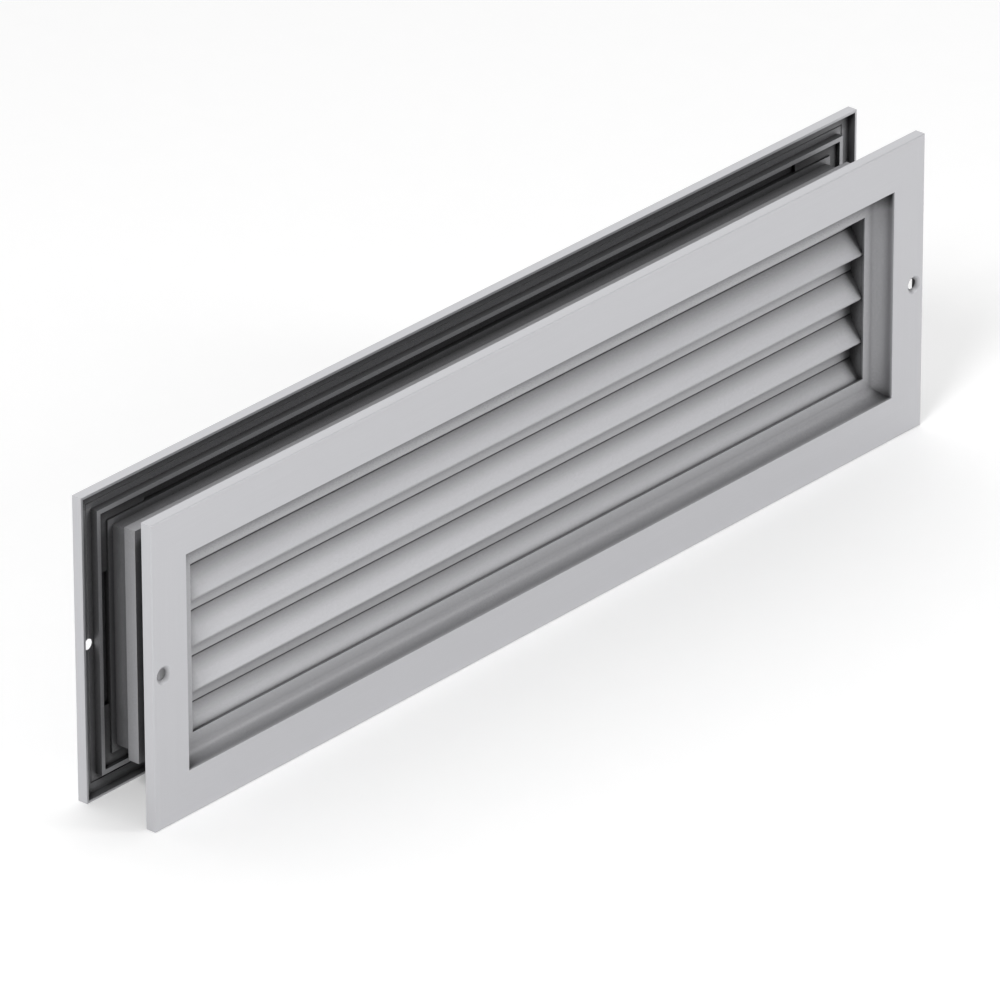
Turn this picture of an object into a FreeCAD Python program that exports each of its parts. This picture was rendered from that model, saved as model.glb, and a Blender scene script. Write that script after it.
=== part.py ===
"""Door louvre: an air grille with fixed vision-proof blades and a telescoping counter-frame.

The front grille is a mitred frame of extruded profiles that carries a pack of inverted-Y
blades. The counter-frame is a second mitred frame. Its sleeve slides over the neck of the
front frame, so the two flanges clamp door leaves of different thickness.

Frame: X runs along the width, Y goes from the room into the door, Z is up. The origin is the
centre of the plane where the front flange seats on the door. All lengths are millimetres.
Depths in the sizes below are counted from the front face of the front flange.
"""
import FreeCAD, Part
import math
import os
import Sketcher
from FreeCAD import Placement, Rotation, Vector

os.makedirs("parts", exist_ok=True)
doc = FreeCAD.newDocument("DoorLouvre")

# Two coordinates closer than this are the same, in millimetres
SAME_POINT = 1e-6

# Driving sizes
SIZES = [
    ("overall_width", 600.0, "flange to flange along X"),
    ("overall_height", 170.0, "flange to flange along Z"),
    ("door_leaf", 40.0, "thickness of the door between the two flanges, as shown"),
    ("flange_border", 25.0, "width of each flange, outer edge to opening"),
    ("flange_depth", 6.4, "depth of the return lip at the outer edge"),
    ("plate_wall", 2.2, "thickness of the flange plate"),
    ("return_wall", 1.4, "thickness of the return lip"),
    ("thin_wall", 1.2, "walls of the necks, chambers and coves"),
    ("edge_round", 0.8, "rounding of the outer edges"),
    ("cove_radius", 6.5, "concave curve between opening edge and lip"),
    ("lip_face", 9.3, "depth of the lip's front face"),
    ("lip_reach", 13.0, "how far the lip stands into the opening"),
    ("front_chamber", 16.0, "outer edge to the front cleat chamber"),
    ("neck_end", 43.0, "depth at which the front neck ends"),
    ("slide_gap", 0.4, "clearance between front neck and rear sleeve, each side"),
    ("rib_inset", 11.3, "outer edge to the rear frame's seating rib"),
    ("rib_wall", 2.5, "thickness of the seating rib"),
    ("sleeve_inset", 20.2, "outer edge to the sleeve's front box and shoulder"),
    ("channel_depth", 3.5, "depth of the open channel round the sleeve"),
    ("shoulder_height", 3.0, "height of the sleeve's shoulder over the rear plate"),
    ("sleeve_length", 23.3, "length of the sleeve along Y, with its plate"),
    ("box_depth", 7.0, "depth of the sleeve's front box"),
    ("guide_groove", 0.4, "depth and half width of the drilling groove"),
    ("hole_inset", 7.6, "outer edge to the centre of the fixing hole"),
    ("hole_diameter", 6.0, "fixing hole"),
    ("sink_diameter", 10.2, "countersink at the surface"),
    ("sink_depth", 1.7, "countersink depth"),
    ("cleat_leg", 48.0, "length of a corner cleat's legs, from the outer edge"),
    ("cleat_gap", 0.15, "clearance of a cleat in its chamber, each side"),
    ("cleat_chamfer", 0.6, "lead-in chamfer on the cleat legs"),
    ("flat_cleat_wall", 1.8, "thickness of the cleat that lies in the rear frame's slot"),
    ("carrier_set", 0.5, "how far the blade carrier stands back from the lip's edge"),
    ("carrier_depth", 19.5, "depth of the blade carrier channel"),
    ("carrier_gap", 0.2, "clearance of the carrier to the neck and the rails"),
    ("snap_bead", 0.8, "height of the bead that holds the carrier"),
    ("blade_gap", 0.2, "clearance between lip and blade nose"),
    ("blade_count", 4, "number of blades"),
    ("nose_drop", 5.0, "how far the lowest blade reaches below the edge of the bottom lip"),
    ("crown_drop", 22.8, "edge of the top lip to the underside of the highest blade"),
    ("leg_run", 7.9, "nose to crease along Y"),
    ("leg_rise", 14.3, "underside of the nose to crease along Z"),
    ("leg_wall", 1.2, "thickness of a blade leg"),
    ("nose_radius", 1.25, "bead along a leg's lower edge"),
    ("stem_wall", 1.8, "thickness of a blade stem"),
    ("stem_overlap", 1.0, "how far a stem rises above the next blade's underside"),
    ("crease_groove", 0.5, "depth and half width of the groove along each crease"),
    ("tenon_start", 2.0, "crease to the lower edge of the blade tenon"),
    ("tenon_drop", 3.1, "top of the stem to the upper edge of the blade tenon"),
    ("tenon_out", 1.0, "how far a tenon stands through the carrier"),
    ("tenon_gap", 0.1, "clearance of a tenon in its slot, each side"),
]

# Positions that follow from the driving sizes
STATIONS = [
    ("mitre_reach", "flange_border + lip_reach + thin_wall"),
    ("lip_end", "flange_border + lip_reach"),
    ("lip_back", "lip_face + thin_wall"),
    ("cove_start", "lip_face - cove_radius"),
    ("cove_end", "flange_border + cove_radius"),
    ("cove_outside", "flange_border - thin_wall"),
    ("cove_outer_radius", "cove_radius + thin_wall"),
    ("cove_tail", "cove_end - sqrt(cove_outer_radius * cove_outer_radius - cove_radius * cove_radius)"),
    ("chamber_inside", "front_chamber + thin_wall"),
    ("sleeve_floor", "sleeve_inset + channel_depth"),
    ("sleeve_inside", "sleeve_floor + thin_wall"),
    ("box_inside", "sleeve_inset + thin_wall"),
    ("rib_end", "rib_inset + rib_wall"),
    ("neck_outside", "sleeve_inside + slide_gap"),
    ("neck_inside", "neck_outside + thin_wall"),
    ("rear_lip", "flange_depth + door_leaf"),
    ("rear_back", "rear_lip + flange_depth"),
    ("rear_plate", "rear_back - plate_wall"),
    ("shoulder_front", "rear_plate - shoulder_height"),
    ("box_front", "rear_back - sleeve_length"),
    ("box_back", "box_front + box_depth"),
    ("box_cavity_front", "box_front + thin_wall"),
    ("box_cavity_back", "box_back - thin_wall"),
    ("groove_low", "hole_inset - guide_groove"),
    ("groove_high", "hole_inset + guide_groove"),
    ("groove_bottom", "rear_plate + guide_groove"),
    ("rear_round", "rear_back - edge_round"),
    ("front_sink_edge", "hole_inset + sink_diameter / 2"),
    ("hole_edge", "hole_inset + hole_diameter / 2"),
    ("rear_sink_bottom", "rear_back - sink_depth"),
    ("carrier_face", "lip_end - carrier_set"),
    ("carrier_web", "carrier_face - thin_wall"),
    ("carrier_foot", "neck_inside + carrier_gap"),
    ("carrier_back", "lip_back + carrier_depth"),
    ("carrier_front_wall", "lip_back + thin_wall"),
    ("carrier_back_wall", "carrier_back - thin_wall"),
    ("carrier_low", "neck_inside + carrier_gap"),
    ("carrier_height", "overall_height - 2 * carrier_low"),
    ("bead_start", "carrier_back + carrier_gap"),
    ("bead_peak", "bead_start + snap_bead"),
    ("bead_end", "bead_peak + snap_bead"),
    ("bead_top", "neck_inside + snap_bead"),
    ("blade_front", "lip_back + blade_gap"),
    ("first_nose", "lip_end - nose_drop"),
    ("last_nose", "overall_height - lip_end - crown_drop"),
    ("pattern_span", "last_nose - first_nose"),
    ("blade_pitch", "pattern_span / (blade_count - 1)"),
    ("blade_length", "overall_width - 2 * carrier_face"),
    ("tenon_length", "blade_length + 2 * (thin_wall + tenon_out)"),
    ("stem_back", "leg_run + stem_wall"),
    ("groove_run", "leg_run + crease_groove"),
    ("groove_run_back", "stem_back - crease_groove"),
    ("groove_rise", "leg_rise + crease_groove"),
    ("groove_top", "groove_rise + crease_groove"),
    ("blade_middle", "leg_run + stem_wall / 2"),
    ("stem_top", "blade_pitch + stem_overlap"),
    ("lean_run", "leg_run - nose_radius"),
    ("lean_rise", "leg_rise - nose_radius"),
    ("lean_square", "lean_run * lean_run + lean_rise * lean_rise"),
    ("lean_length", "sqrt(lean_square - nose_radius * nose_radius)"),
    ("near_share", "nose_radius * nose_radius / lean_square"),
    ("side_share", "nose_radius * lean_length / lean_square"),
    ("outer_run", "nose_radius + near_share * lean_run - side_share * lean_rise"),
    ("outer_rise", "nose_radius + near_share * lean_rise + side_share * lean_run"),
    ("slope_run", "(leg_run - outer_run) / lean_length"),
    ("slope_rise", "(leg_rise - outer_rise) / lean_length"),
    ("bead_shift", "leg_wall - nose_radius"),
    ("bead_along", "sqrt(nose_radius * nose_radius - bead_shift * bead_shift)"),
    ("inner_run", "nose_radius + bead_shift * slope_rise + bead_along * slope_run"),
    ("inner_rise", "nose_radius - bead_shift * slope_run + bead_along * slope_rise"),
    ("crotch_rise", "inner_rise + (blade_middle - inner_run) * slope_rise / slope_run"),
    ("inner_run_back", "2 * blade_middle - inner_run"),
    ("outer_run_back", "2 * blade_middle - outer_run"),
    ("tenon_low", "leg_rise + tenon_start"),
    ("tenon_high", "stem_top - tenon_drop"),
    ("slot_front", "blade_front + leg_run - tenon_gap"),
    ("slot_back", "blade_front + stem_back + tenon_gap"),
    ("left_slot_low", "first_nose + tenon_low - tenon_gap - carrier_low"),
    ("left_slot_high", "first_nose + tenon_high + tenon_gap - carrier_low"),
    ("right_slot_low", "carrier_height - left_slot_high - pattern_span"),
    ("right_slot_high", "carrier_height - left_slot_low - pattern_span"),
    ("front_cleat_low", "chamber_inside + cleat_gap"),
    ("front_cleat_high", "cove_outside - cleat_gap"),
    ("front_cleat_depth", "lip_face - plate_wall - 2 * cleat_gap"),
    ("front_cleat_start", "plate_wall + cleat_gap"),
    ("box_cleat_low", "box_inside + cleat_gap"),
    ("box_cleat_high", "sleeve_floor - cleat_gap"),
    ("box_cleat_depth", "box_depth - 2 * thin_wall - 2 * cleat_gap"),
    ("box_cleat_start", "box_cavity_front + cleat_gap"),
    ("flat_cleat_low", "rib_end + cleat_gap"),
    ("flat_cleat_high", "sleeve_inset - cleat_gap"),
    ("flat_cleat_start", "rear_plate - cleat_gap - flat_cleat_wall"),
    ("half_width", "overall_width / 2"),
    ("half_height", "overall_height / 2"),
    ("carrier_foot_z", "half_height - carrier_low"),
    ("far_foot_overall_width", "overall_width - mitre_reach"),
    ("far_foot_overall_height", "overall_height - mitre_reach"),
]


def make_sheet():
    """One sheet: driving sizes first, then the positions worked out from them."""
    sheet = doc.addObject("Spreadsheet::Sheet", "Sizes")
    for row, (alias, value, note) in enumerate(SIZES, start=1):
        sheet.set("A%d" % row, str(value))
        sheet.setAlias("A%d" % row, alias)
        sheet.set("B%d" % row, note)
    doc.recompute()
    for row, (alias, formula) in enumerate(STATIONS, start=len(SIZES) + 1):
        sheet.set("A%d" % row, "=" + formula)
        sheet.setAlias("A%d" % row, alias)
    doc.recompute()
    return sheet


sheet = make_sheet()


def size(alias):
    """Present value of a named size."""
    return float(sheet.get(alias))


def bind(target, prop, alias, sign=""):
    """Tie a property to a named size."""
    target.setExpression(prop, "%sSizes.%s" % (sign, alias))


def new_body(label):
    body = doc.addObject("PartDesign::Body", label)
    body.Label = label
    return body


def new_sketch(body, name, plane):
    """Sketch on one of the body's own origin planes."""
    sketch = body.newObject("Sketcher::SketchObject", body.Name + "_" + name)
    origin_plane = [item for item in body.Origin.OriginFeatures if item.Role == plane][0]
    sketch.AttachmentSupport = [(origin_plane, "")]
    sketch.MapMode = "FlatFace"
    return sketch


def pin_point(sketch, index, role, corner):
    """Fix one end of an edge at a corner, by its two named distances from the origin."""
    for kind, axis, alias in (("DistanceX", -2, corner[0]), ("DistanceY", -1, corner[1])):
        if alias == "zero":
            sketch.addConstraint(Sketcher.Constraint("PointOnObject", index, role, axis))
        else:
            number = sketch.addConstraint(Sketcher.Constraint(kind, -1, 1, index, role, size(alias)))
            bind(sketch, "Constraints[%d]" % number, alias)


def coordinate(alias):
    return 0.0 if alias == "zero" else size(alias)


def arc_end(corner):
    """An arc that turns right is stored the other way round, so its far point is point 1."""
    return 1 if len(corner) == 4 and corner[3] < 0 else 2


def draw_loop(sketch, corners):
    """Closed outline. A corner is (x alias, y alias) and a straight edge to the next one, or
    (x alias, y alias, radius alias, turn) and an arc, where turn is +1 for an arc that turns
    left and -1 for one that turns right, and 2 in place of 1 for the longer way round. An arc
    is always followed by a straight edge."""
    first = sketch.GeometryCount
    count = len(corners)
    for step, corner in enumerate(corners):
        following = corners[(step + 1) % count]
        start = Vector(coordinate(corner[0]), coordinate(corner[1]), 0)
        end = Vector(coordinate(following[0]), coordinate(following[1]), 0)
        if len(corner) == 2:
            sketch.addGeometry(Part.LineSegment(start, end), False)
        else:
            sketch.addGeometry(arc_between(start, end, size(corner[2]), corner[3]), False)
    for step, corner in enumerate(corners):
        index = first + step
        before = first + (step - 1) % count
        end_role = arc_end(corners[(step - 1) % count])
        start_role = 1 if arc_end(corner) == 2 else 2
        sketch.addConstraint(Sketcher.Constraint("Coincident", before, end_role, index, start_role))
    for step, corner in enumerate(corners):
        index = first + step
        if len(corner) == 2:
            pin_point(sketch, index, 1, corner)
        else:
            number = sketch.addConstraint(Sketcher.Constraint("Radius", index, size(corner[2])))
            bind(sketch, "Constraints[%d]" % number, corner[2])
            before = (step - 1) % count
            pin_point(sketch, first + before, arc_end(corners[before]), corner)


def arc_between(start, end, radius, turn):
    """Circular arc between two points. The sketch stores every arc turning left."""
    if turn < 0:
        start, end = end, start
    chord = end.sub(start)
    half = chord.Length / 2
    height = math.sqrt(max(radius * radius - half * half, 0.0))
    side = Vector(-chord.y, chord.x, 0).normalize()
    if abs(turn) == 2:
        side = side.negative()
    centre = start.add(chord.multiply(0.5)).add(side.multiply(height))
    begin = math.atan2(start.y - centre.y, start.x - centre.x)
    finish = math.atan2(end.y - centre.y, end.x - centre.x)
    if finish < begin:
        finish += 2 * math.pi
    circle = Part.Circle(centre, Vector(0, 0, 1), radius)
    return Part.ArcOfCircle(circle, begin, finish)


def pad(body, sketch, name, alias, midplane=False):
    feature = body.newObject("PartDesign::Pad", body.Name + "_" + name)
    feature.Profile = sketch
    bind(feature, "Length", alias)
    feature.Midplane = midplane
    sketch.Visibility = False
    return feature


def pocket_through(body, sketch, name):
    feature = body.newObject("PartDesign::Pocket", body.Name + "_" + name)
    feature.Profile = sketch
    feature.Type = 1
    feature.Midplane = True
    return feature


def place(body, x="", depth="", z="", rotation=None):
    """Put a body by named distances along X and Z, where a leading minus sign is allowed, and
    by its depth behind the front face."""
    body.Placement = Placement(Vector(0, 0, 0), rotation or Rotation())
    for axis, alias in (("x", x), ("z", z)):
        if alias:
            sign = "-" if alias.startswith("-") else ""
            bind(body, "Placement.Base.%s" % axis, alias.lstrip("-"), sign)
    start = "Sizes.%s - " % depth if depth else "-"
    body.setExpression("Placement.Base.y", start + "Sizes.flange_depth")


# Outlines of the extrusions: first value inward from the outer edge, second value depth
FRONT_OUTLINE = [
    ("edge_round", "zero"),
    ("flange_border", "zero"),
    ("flange_border", "cove_start", "cove_radius", -1),
    ("cove_end", "lip_face"),
    ("lip_end", "lip_face"),
    ("lip_end", "lip_back"),
    ("neck_inside", "lip_back"),
    ("neck_inside", "bead_start"),
    ("bead_top", "bead_peak"),
    ("neck_inside", "bead_end"),
    ("neck_inside", "neck_end"),
    ("neck_outside", "neck_end"),
    ("neck_outside", "lip_back"),
    ("front_chamber", "lip_back"),
    ("front_chamber", "plate_wall"),
    ("return_wall", "plate_wall"),
    ("return_wall", "flange_depth"),
    ("zero", "flange_depth"),
    ("zero", "edge_round", "edge_round", 1),
]
FRONT_CHAMBER = [
    ("chamber_inside", "plate_wall"),
    ("cove_outside", "plate_wall"),
    ("cove_outside", "cove_start", "cove_outer_radius", -1),
    ("cove_tail", "lip_face"),
    ("chamber_inside", "lip_face"),
]
REAR_OUTLINE = [
    ("zero", "rear_lip"),
    ("return_wall", "rear_lip"),
    ("return_wall", "rear_plate"),
    ("groove_low", "rear_plate"),
    ("hole_inset", "groove_bottom"),
    ("groove_high", "rear_plate"),
    ("rib_inset", "rear_plate"),
    ("rib_inset", "rear_lip"),
    ("rib_end", "rear_lip"),
    ("rib_end", "rear_plate"),
    ("sleeve_inset", "rear_plate"),
    ("sleeve_inset", "shoulder_front"),
    ("sleeve_floor", "shoulder_front"),
    ("sleeve_floor", "box_back"),
    ("sleeve_inset", "box_back"),
    ("sleeve_inset", "box_front"),
    ("sleeve_inside", "box_front"),
    ("sleeve_inside", "rear_back"),
    ("edge_round", "rear_back", "edge_round", 1),
    ("zero", "rear_round"),
]
REAR_BOX_CAVITY = [
    ("box_inside", "box_cavity_front"),
    ("sleeve_floor", "box_cavity_front"),
    ("sleeve_floor", "box_cavity_back"),
    ("box_inside", "box_cavity_back"),
]

# The four sides: where each starts, which way it is turned, and the size that gives its length
TURN_LEFT = Rotation()
TURN_BOTTOM = Rotation(Vector(0, 0, 1), Vector(0, 1, 0), Vector(-1, 0, 0), "XYZ")
TURN_RIGHT = Rotation(Vector(-1, 0, 0), Vector(0, 1, 0), Vector(0, 0, -1), "XYZ")
TURN_TOP = Rotation(Vector(0, 0, -1), Vector(0, 1, 0), Vector(1, 0, 0), "XYZ")
SIDES = [
    ("bottom_rail", "half_width", "-half_height", TURN_BOTTOM, "overall_width", False),
    ("top_rail", "-half_width", "half_height", TURN_TOP, "overall_width", False),
    ("left_stile", "-half_width", "-half_height", TURN_LEFT, "overall_height", True),
    ("right_stile", "half_width", "half_height", TURN_RIGHT, "overall_height", True),
]
CORNERS = [
    ("bottom_left", "-half_width", "-half_height", 0),
    ("bottom_right", "half_width", "-half_height", -90),
    ("top_right", "half_width", "half_height", 180),
    ("top_left", "-half_width", "half_height", 90),
]


def cut_mitres(body, length):
    """45 degree cuts at both ends of an extruded side."""
    near = new_sketch(body, "near_mitre", "XZ_Plane")
    draw_loop(near, [("zero", "zero"), ("mitre_reach", "zero"), ("mitre_reach", "mitre_reach")])
    pocket_through(body, near, "near_cut")
    far = new_sketch(body, "far_mitre", "XZ_Plane")
    far_foot = "far_foot_" + length
    draw_loop(far, [("zero", length), ("mitre_reach", far_foot), ("mitre_reach", length)])
    pocket_through(body, far, "far_cut")


def cut_fixing_hole(body, outline):
    """Countersunk hole halfway along a stile, turned about its own centre line."""
    sketch = new_sketch(body, "hole", "XY_Plane")
    bind(sketch, "AttachmentOffset.Base.z", "half_height")
    draw_loop(sketch, outline)
    feature = body.newObject("PartDesign::Groove", body.Name + "_countersunk_hole")
    feature.Profile = sketch
    feature.ReferenceAxis = (sketch, ["Edge%d" % len(outline)])
    feature.Angle = 360


FRONT_HOLE = [
    ("hole_inset", "zero"),
    ("front_sink_edge", "zero"),
    ("hole_edge", "sink_depth"),
    ("hole_edge", "flange_depth"),
    ("hole_inset", "flange_depth"),
]
REAR_HOLE = [
    ("hole_inset", "rear_lip"),
    ("hole_edge", "rear_lip"),
    ("hole_edge", "rear_sink_bottom"),
    ("front_sink_edge", "rear_back"),
    ("hole_inset", "rear_back"),
]


def make_side(label, loops, hole, side):
    """One mitred length of extrusion."""
    _, x, z, turn, length, is_stile = side
    body = new_body(label)
    section = new_sketch(body, "section", "XY_Plane")
    for loop in loops:
        draw_loop(section, loop)
    pad(body, section, "extrusion", length)
    cut_mitres(body, length)
    if is_stile:
        cut_fixing_hole(body, hole)
    place(body, x=x, z=z, rotation=turn)
    return body


def make_cleat(label, low, high, depth, start, corner):
    """L-shaped corner cleat that keys two mitred sides together."""
    _, x, z, angle = corner
    body = new_body(label)
    sketch = new_sketch(body, "angle", "XZ_Plane")
    draw_loop(sketch, [
        (low, low),
        ("cleat_leg", low),
        ("cleat_leg", high),
        (high, high),
        (high, "cleat_leg"),
        (low, "cleat_leg"),
    ])
    feature = pad(body, sketch, "plate", depth)
    feature.Reversed = True
    doc.recompute()
    tips = tip_edges(feature.Shape, size("cleat_leg"))
    chamfer = body.newObject("PartDesign::Chamfer", body.Name + "_lead_in")
    chamfer.Base = (feature, tips)
    bind(chamfer, "Size", "cleat_chamfer")
    place(body, x=x, depth=start, z=z, rotation=Rotation(Vector(0, 1, 0), angle))
    return body


def same(first, second):
    return abs(first - second) < SAME_POINT


def tip_edges(shape, leg):
    """Names of the edges along Y at the outer and inner corners of the two leg ends."""
    names = []
    for number, edge in enumerate(shape.Edges, start=1):
        first, last = edge.Vertexes[0].Point, edge.Vertexes[-1].Point
        along_depth = same(first.x, last.x) and same(first.z, last.z)
        at_tip = same(first.x, leg) or same(first.z, leg)
        if along_depth and at_tip:
            names.append("Edge%d" % number)
    return names


def make_carrier(label, x, z, turn, slot_low, slot_high):
    """Channel behind the lip of a stile, slotted for the blade tenons."""
    body = new_body(label)
    section = new_sketch(body, "section", "XY_Plane")
    draw_loop(section, [
        ("carrier_foot", "lip_back"),
        ("carrier_face", "lip_back"),
        ("carrier_face", "carrier_back"),
        ("carrier_foot", "carrier_back"),
        ("carrier_foot", "carrier_back_wall"),
        ("carrier_web", "carrier_back_wall"),
        ("carrier_web", "carrier_front_wall"),
        ("carrier_foot", "carrier_front_wall"),
    ])
    pad(body, section, "channel", "carrier_height")
    slot = new_sketch(body, "slot", "YZ_Plane")
    draw_loop(slot, [
        ("slot_front", slot_low),
        ("slot_back", slot_low),
        ("slot_back", slot_high),
        ("slot_front", slot_high),
    ])
    cut = pocket_through(body, slot, "slot_cut")
    pattern = body.newObject("PartDesign::LinearPattern", label + "_slots")
    pattern.Originals = [cut]
    pattern.Direction = (slot, ["V_Axis"])
    bind(pattern, "Length", "pattern_span")
    bind(pattern, "Occurrences", "blade_count")
    body.Tip = pattern
    place(body, x=x, z=z, rotation=turn)
    return body


def make_blade(label, index):
    """Inverted-Y blade: two sloping legs with beaded edges under an upright stem."""
    body = new_body(label)
    section = new_sketch(body, "section", "YZ_Plane")
    draw_loop(section, [
        ("leg_run", "stem_top"),
        ("leg_run", "groove_top"),
        ("groove_run", "groove_rise"),
        ("leg_run", "leg_rise"),
        ("outer_run", "outer_rise", "nose_radius", 2),
        ("inner_run", "inner_rise"),
        ("blade_middle", "crotch_rise"),
        ("inner_run_back", "inner_rise", "nose_radius", 2),
        ("outer_run_back", "outer_rise"),
        ("stem_back", "leg_rise"),
        ("groove_run_back", "groove_rise"),
        ("stem_back", "groove_top"),
        ("stem_back", "stem_top"),
    ])
    pad(body, section, "extrusion", "blade_length", midplane=True)
    tenon = new_sketch(body, "tenon", "YZ_Plane")
    draw_loop(tenon, [
        ("leg_run", "tenon_low"),
        ("stem_back", "tenon_low"),
        ("stem_back", "tenon_high"),
        ("leg_run", "tenon_high"),
    ])
    pad(body, tenon, "tenons", "tenon_length", midplane=True)
    place(body, depth="blade_front")
    height = "Sizes.first_nose + %d * Sizes.blade_pitch - Sizes.half_height" % index
    body.setExpression("Placement.Base.z", height)
    return body


nodes = []
for side in SIDES:
    nodes.append(make_side("front_" + side[0], [FRONT_OUTLINE, FRONT_CHAMBER], FRONT_HOLE, side))
for side in SIDES:
    nodes.append(make_side("rear_" + side[0], [REAR_OUTLINE, REAR_BOX_CAVITY], REAR_HOLE, side))
CLEATS = [
    ("front_cleat_", "front_cleat_low", "front_cleat_high", "front_cleat_depth", "front_cleat_start"),
    ("rear_box_cleat_", "box_cleat_low", "box_cleat_high", "box_cleat_depth", "box_cleat_start"),
    ("rear_flat_cleat_", "flat_cleat_low", "flat_cleat_high", "flat_cleat_wall", "flat_cleat_start"),
]
for prefix, low, high, depth, start in CLEATS:
    for corner in CORNERS:
        nodes.append(make_cleat(prefix + corner[0], low, high, depth, start, corner))

nodes.append(make_carrier("blade_carrier_left", "-half_width", "-carrier_foot_z", TURN_LEFT,
                          "left_slot_low", "left_slot_high"))
nodes.append(make_carrier("blade_carrier_right", "half_width", "carrier_foot_z", TURN_RIGHT,
                          "right_slot_low", "right_slot_high"))
for number in range(int(size("blade_count"))):
    nodes.append(make_blade("blade_%d" % (number + 1), number))

doc.recompute()


def check_document():
    """Stop on any failed feature or bad shape before anything is written."""
    failed = [item.Name for item in doc.Objects if "Invalid" in item.State or "Error" in item.State]
    if failed:
        raise RuntimeError("failed features: " + ", ".join(failed))
    for body in nodes:
        if body.Shape.isNull() or not body.Shape.isValid() or len(body.Shape.Solids) != 1:
            raise RuntimeError("bad shape: " + body.Label)


check_document()
for body in nodes:
    body.Shape.exportStep("parts/%s.step" % body.Label)
    print("%-26s volume %9.1f mm3" % (body.Label, body.Shape.Volume))
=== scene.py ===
"""Door louvre in a plain studio: satin anodised extrusions, seen as in the photograph."""
import math

import bpy
from mathutils import Matrix, Vector


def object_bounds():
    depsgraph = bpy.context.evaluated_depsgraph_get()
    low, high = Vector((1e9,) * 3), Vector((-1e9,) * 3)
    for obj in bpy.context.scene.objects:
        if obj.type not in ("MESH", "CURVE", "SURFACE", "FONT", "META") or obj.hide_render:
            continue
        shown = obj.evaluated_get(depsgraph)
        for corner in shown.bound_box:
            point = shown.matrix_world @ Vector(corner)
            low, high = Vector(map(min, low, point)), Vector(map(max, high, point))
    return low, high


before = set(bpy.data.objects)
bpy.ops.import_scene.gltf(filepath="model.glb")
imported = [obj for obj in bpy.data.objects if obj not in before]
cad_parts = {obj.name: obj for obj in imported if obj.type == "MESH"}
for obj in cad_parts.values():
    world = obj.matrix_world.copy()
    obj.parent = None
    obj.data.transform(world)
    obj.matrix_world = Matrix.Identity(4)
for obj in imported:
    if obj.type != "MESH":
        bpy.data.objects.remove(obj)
CAD_BOX = [list(corner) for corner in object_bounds()]

# Camera: angle, distance and focal length that put every edge where the photograph has it
AZIMUTH = math.radians(49.0)
ELEVATION = math.radians(26.74)
ROLL = math.radians(-0.14)
SENSOR = 36.0
FOCAL_LENGTH = 412.6
DISTANCE = 5.848
TARGET = Vector((0.0, 0.0185, 0.0))
AIM_LEFT = 0.00742
AIM_DOWN = 0.02079
VIEW_END = 60.0

# Finish
SILVER = (0.565, 0.565, 0.585)
CAST = (0.40, 0.40, 0.41)
# Painted shade: the colour that recesses and the spaces under edges are darkened towards
PAINTED_SHADE_BLACK = (0.0, 0.0, 0.0)
METAL_SHARE = 0.5
SATIN = 0.50
MATT = 0.62
ROUGHNESS_SPREAD = 0.03

# Grain: scales in turns per metre. Along an extrusion the lines are drawn out by ALONG.
ALONG = 0.012
LINE_SCALE = 1400.0
BAND_SCALE = 180.0
GRAIN_SCALE = 5200.0
CLOUD_SCALE = 9.0
CLOUD_TONES = (0.98, 1.02)
# Share of the pattern that shows, and its tone against the plain colour
BAND_MIX = (0.40, 1.03)
LINE_MIX = (0.25, 0.93)
GRAIN_MIX = (0.20, 0.90)
GRAIN_BUMP = 0.00004
LINE_BUMP = 0.00003
BUMP_STRENGTH = 0.06

# Painted shade: the base colour is darkened in recesses, under an edge within the short reach,
# where the look-out leans upward, and deep in within the long one. The outermost faces have
# nothing beside them and keep their colour.
SHORT_REACH = 0.010
SHORT_POWER = 2.0
LIFT = 0.8
LONG_REACH = 0.030
LONG_POWER = 0.85
OCCLUSION_SAMPLES = 4
SKIN = 0.0002
SKIN_FADE = 0.0014

FLOOR_GAP = 0.0002
FLOOR_Z = CAD_BOX[0][2] - FLOOR_GAP
FLOOR_HALF = 8.0
FLOOR_FIBRES = 60.0
PAPER = (0.90, 0.90, 0.90)
PAPER_LIGHT = (0.91, 0.91, 0.91)
FLOOR_GLOW = 0.20
FLOOR_GLOW_REFLECTED = 0.35

# The room: even all round, and brighter towards a large soft window behind on the right
ROOM_LEVEL = 0.38
WINDOW_LEVEL = 1.28
WINDOW_WAY = (0.655, 0.655, 0.375)
WINDOW_EDGE = 0.25

# Two soft round lamps: place in metres, and power in watts
LAMP_SIZE = 0.8
RIGHT_LAMP = (1.36, -2.35, 1.27)
RIGHT_POWER = 17.4
LEFT_LAMP = (-1.99, -0.73, 2.12)
LEFT_POWER = 34.0


def make_camera():
    """Camera with its own axes set from the view angle, without any shift."""
    back = Vector((
        -math.sin(AZIMUTH) * math.cos(ELEVATION),
        -math.cos(AZIMUTH) * math.cos(ELEVATION),
        math.sin(ELEVATION),
    ))
    right = Vector((math.cos(AZIMUTH), -math.sin(AZIMUTH), 0.0))
    up = back.cross(right)
    rolled_right = right * math.cos(ROLL) + up * math.sin(ROLL)
    rolled_up = up * math.cos(ROLL) - right * math.sin(ROLL)
    data = bpy.data.cameras.new("camera")
    data.sensor_width = SENSOR
    data.lens = FOCAL_LENGTH
    data.clip_end = VIEW_END
    camera = bpy.data.objects.new("camera", data)
    bpy.context.scene.collection.objects.link(camera)
    place = TARGET - rolled_right * AIM_LEFT - rolled_up * AIM_DOWN + back * DISTANCE
    turn = Matrix((rolled_right, rolled_up, back)).transposed().to_4x4()
    camera.matrix_world = Matrix.Translation(place) @ turn
    bpy.context.scene.camera = camera


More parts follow.
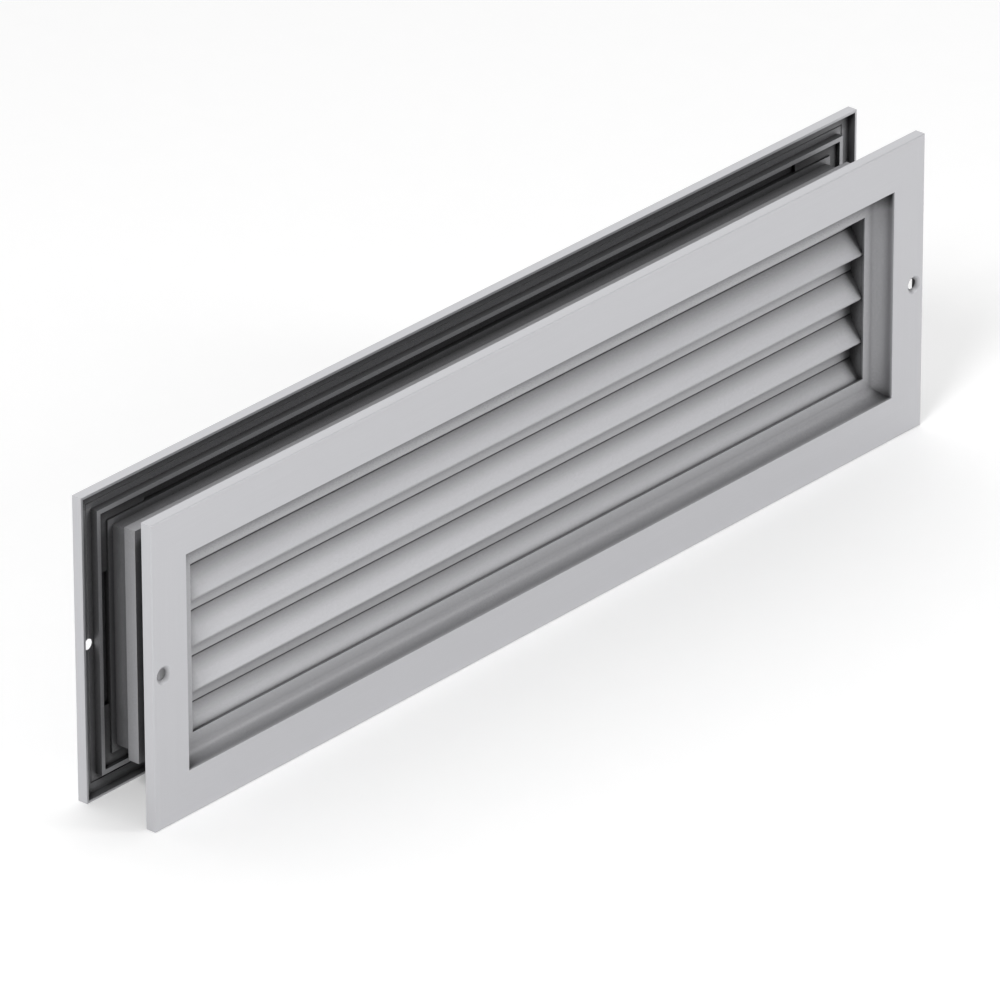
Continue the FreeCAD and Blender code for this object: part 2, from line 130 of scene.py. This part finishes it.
class Graph:
    """Short way to build a node tree."""

    def __init__(self, owner):
        owner.use_nodes = True
        self.tree = owner.node_tree
        self.tree.nodes.clear()

    def node(self, kind, **values):
        made = self.tree.nodes.new(kind)
        for key, value in values.items():
            setattr(made, key, value)
        return made

    def link(self, source, target):
        """Join an output to an input."""
        self.tree.links.new(source, target)

    def fill(self, socket, value):
        """Give a socket a number, a colour or another node's output."""
        if isinstance(value, (int, float)):
            socket.default_value = value
        elif isinstance(value, tuple):
            socket.default_value = (*value, 1.0)
        else:
            self.link(value, socket)

    def noise(self, vector, scale, detail=3.0, roughness=0.55):
        made = self.node("ShaderNodeTexNoise")
        made.inputs["Scale"].default_value = scale
        made.inputs["Detail"].default_value = detail
        made.inputs["Roughness"].default_value = roughness
        self.link(vector, made.inputs["Vector"])
        return made.outputs["Fac"]

    def remap(self, value, low, high, start=0.3, end=0.7, kind="LINEAR"):
        made = self.node("ShaderNodeMapRange", interpolation_type=kind)
        made.inputs["From Min"].default_value = start
        made.inputs["From Max"].default_value = end
        self.fill(made.inputs["To Min"], low)
        self.fill(made.inputs["To Max"], high)
        self.link(value, made.inputs["Value"])
        return made.outputs["Result"]

    def maths(self, operation, first, second):
        made = self.node("ShaderNodeMath", operation=operation)
        self.fill(made.inputs[0], first)
        self.fill(made.inputs[1], second)
        return made.outputs["Value"]

    def blend(self, share, first, second):
        """Colour mix."""
        made = self.node("ShaderNodeMix", data_type="RGBA")
        self.fill(made.inputs[0], share)
        self.fill(made.inputs[6], first)
        self.fill(made.inputs[7], second)
        return made.outputs[2]

    def occlusion(self, reach, power, lift=0.0):
        """1 where nothing stands near the surface, down to 0 in a closed corner; used as painted
        shade in base colours.
         A lift leans the look-out from the surface's own direction towards straight up."""
        made = self.node("ShaderNodeAmbientOcclusion", samples=OCCLUSION_SAMPLES)
        made.inputs["Distance"].default_value = reach
        if lift:
            lean = self.node("ShaderNodeVectorMath", operation="ADD")
            self.link(self.node("ShaderNodeNewGeometry").outputs["Normal"], lean.inputs[0])
            lean.inputs[1].default_value = (0.0, 0.0, lift)
            even = self.node("ShaderNodeVectorMath", operation="NORMALIZE")
            self.link(lean.outputs["Vector"], even.inputs[0])
            self.link(even.outputs["Vector"], made.inputs["Normal"])
        return self.maths("POWER", made.outputs["AO"], power)

    def bump(self, height, strength, distance, normal=None):
        made = self.node("ShaderNodeBump")
        made.inputs["Strength"].default_value = strength
        made.inputs["Distance"].default_value = distance
        self.link(height, made.inputs["Height"])
        if normal is not None:
            self.link(normal, made.inputs["Normal"])
        return made.outputs["Normal"]


def scaled(colour, factor):
    """A colour made lighter or darker."""
    return tuple(channel * factor for channel in colour)


def anodised(name, stretch, colour, roughness):
    """Satin anodised extrusion, with painted shade in its base colour: darker towards black in
    recesses and under
     edges. Stretch gives the grain's scale along X, Y and Z: low along the direction of the
     extrusion, where the die lines run."""
    material = bpy.data.materials.new(name)
    graph = Graph(material)
    coordinates = graph.node("ShaderNodeTexCoord").outputs["Object"]
    mapping = graph.node("ShaderNodeMapping")
    mapping.inputs["Scale"].default_value = stretch
    graph.link(coordinates, mapping.inputs["Vector"])
    lines = graph.noise(mapping.outputs["Vector"], LINE_SCALE, 4.0)
    bands = graph.noise(mapping.outputs["Vector"], BAND_SCALE, 2.0)
    grain = graph.noise(coordinates, GRAIN_SCALE, 2.0)
    clouds = graph.noise(coordinates, CLOUD_SCALE, 3.0)

    dull, pale = (scaled(colour, tone) for tone in CLOUD_TONES)
    base = graph.blend(graph.remap(clouds, 0.0, 1.0), dull, pale)
    for pattern, share, tone in ((bands, *BAND_MIX), (lines, *LINE_MIX), (grain, *GRAIN_MIX)):
        base = graph.blend(graph.remap(pattern, 0.0, share), base, scaled(colour, tone))

    # Painted shade: the base colour is darkened towards black by ambient occlusion in recesses
    # and under edges, except on the outermost faces of the whole object.
    place = graph.node("ShaderNodeSeparateXYZ")
    graph.link(coordinates, place.inputs["Vector"])
    depth = 1.0
    for axis, low, high in zip("XYZ", *CAD_BOX):
        along = place.outputs[axis]
        depth = graph.maths("MINIMUM", depth, graph.maths("SUBTRACT", along, low))
        depth = graph.maths("MINIMUM", depth, graph.maths("SUBTRACT", high, along))
    deep = graph.occlusion(LONG_REACH, LONG_POWER)
    shade = graph.maths("MULTIPLY", deep, graph.occlusion(SHORT_REACH, SHORT_POWER, LIFT))
    shade = graph.remap(depth, 1.0, shade, SKIN, SKIN + SKIN_FADE)
    base = graph.blend(shade, PAINTED_SHADE_BLACK, base)

    shader = graph.node("ShaderNodeBsdfPrincipled")
    graph.link(base, shader.inputs["Base Color"])
    shader.inputs["Metallic"].default_value = METAL_SHARE
    worn = graph.blend(0.5, lines, clouds)
    rough = graph.remap(worn, roughness - ROUGHNESS_SPREAD, roughness + ROUGHNESS_SPREAD)
    graph.link(rough, shader.inputs["Roughness"])
    normal = graph.bump(grain, BUMP_STRENGTH, GRAIN_BUMP)
    normal = graph.bump(lines, BUMP_STRENGTH, LINE_BUMP, normal)
    graph.link(normal, shader.inputs["Normal"])
    output = graph.node("ShaderNodeOutputMaterial")
    graph.link(shader.outputs["BSDF"], output.inputs["Surface"])
    return material


def dress_nodes():
    """Better material for every CAD node, with its grain along the extrusion."""
    along_x = anodised("anodised_rail", (ALONG, 1.0, 1.0), SILVER, SATIN)
    along_z = anodised("anodised_stile", (1.0, 1.0, ALONG), SILVER, SATIN)
    blade = anodised("anodised_blade", (ALONG, 1.0, 1.0), SILVER, SATIN)
    cast = anodised("cast_cleat", (1.0, 1.0, 1.0), CAST, MATT)
    for name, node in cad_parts.items():
        if "cleat" in name:
            finish = cast
        elif name.startswith("blade_carrier") or name.endswith("stile"):
            finish = along_z
        elif name.endswith("rail"):
            finish = along_x
        else:
            finish = blade
        for slot in node.material_slots:
            slot.material = finish


def make_floor():
    """White paper. A glow that only the camera and reflections see brings it up to white, and
    it adds no light to the object's diffuse side, so the shadow stays."""
    mesh = bpy.data.meshes.new("floor")
    half = FLOOR_HALF
    signs = ((-1, -1), (1, -1), (1, 1), (-1, 1))
    corners = [(half * across, half * along, FLOOR_Z) for across, along in signs]
    mesh.from_pydata(corners, [], [(0, 1, 2, 3)])
    floor = bpy.data.objects.new("floor", mesh)
    bpy.context.scene.collection.objects.link(floor)
    material = bpy.data.materials.new("floor_paper")
    graph = Graph(material)
    coordinates = graph.node("ShaderNodeTexCoord").outputs["Object"]
    fibres = graph.noise(coordinates, FLOOR_FIBRES, 3.0)
    base = graph.blend(graph.remap(fibres, 0.0, 1.0), PAPER, PAPER_LIGHT)
    paper = graph.node("ShaderNodeBsdfDiffuse")
    graph.link(base, paper.inputs["Color"])
    glow = graph.node("ShaderNodeEmission")
    path = graph.node("ShaderNodeLightPath")
    seen = graph.maths("MULTIPLY", path.outputs["Is Camera Ray"], FLOOR_GLOW)
    reflected = graph.maths("MULTIPLY", path.outputs["Is Glossy Ray"], FLOOR_GLOW_REFLECTED)
    graph.link(graph.maths("ADD", seen, reflected), glow.inputs["Strength"])
    both = graph.node("ShaderNodeAddShader")
    graph.link(paper.outputs["BSDF"], both.inputs[0])
    graph.link(glow.outputs["Emission"], both.inputs[1])
    output = graph.node("ShaderNodeOutputMaterial")
    graph.link(both.outputs["Shader"], output.inputs["Surface"])
    mesh.materials.append(material)


def make_world():
    """White for the camera, and the room as light and in reflections."""
    world = bpy.data.worlds.new("studio")
    graph = Graph(world)
    direction = graph.node("ShaderNodeTexCoord").outputs["Generated"]
    facing = graph.node("ShaderNodeVectorMath", operation="DOT_PRODUCT")
    graph.link(direction, facing.inputs[0])
    facing.inputs[1].default_value = WINDOW_WAY
    towards = facing.outputs["Value"]
    room = graph.remap(towards, ROOM_LEVEL, WINDOW_LEVEL, WINDOW_EDGE, 1.0, "SMOOTHSTEP")
    path = graph.node("ShaderNodeLightPath")
    level = graph.remap(path.outputs["Is Camera Ray"], room, 1.0, 0.0, 1.0)
    light = graph.node("ShaderNodeBackground")
    light.inputs["Color"].default_value = (1.0, 1.0, 1.0, 1.0)
    graph.link(level, light.inputs["Strength"])
    output = graph.node("ShaderNodeOutputWorld")
    graph.link(light.outputs["Background"], output.inputs["Surface"])
    bpy.context.scene.world = world


def soft_light(name, place, size, energy):
    """Round area lamp that points at the middle of the object."""
    data = bpy.data.lights.new(name, "AREA")
    data.shape = "DISK"
    data.size = size
    data.energy = energy
    lamp = bpy.data.objects.new(name, data)
    lamp.location = place
    lamp.rotation_mode = "QUATERNION"
    lamp.rotation_quaternion = Vector(place).to_track_quat("Z", "Y")
    bpy.context.scene.collection.objects.link(lamp)


make_camera()
make_world()
make_floor()
soft_light("key_right", RIGHT_LAMP, LAMP_SIZE, RIGHT_POWER)
soft_light("key_left", LEFT_LAMP, LAMP_SIZE, LEFT_POWER)
dress_nodes()

bpy.context.scene.view_settings.view_transform = "Standard"
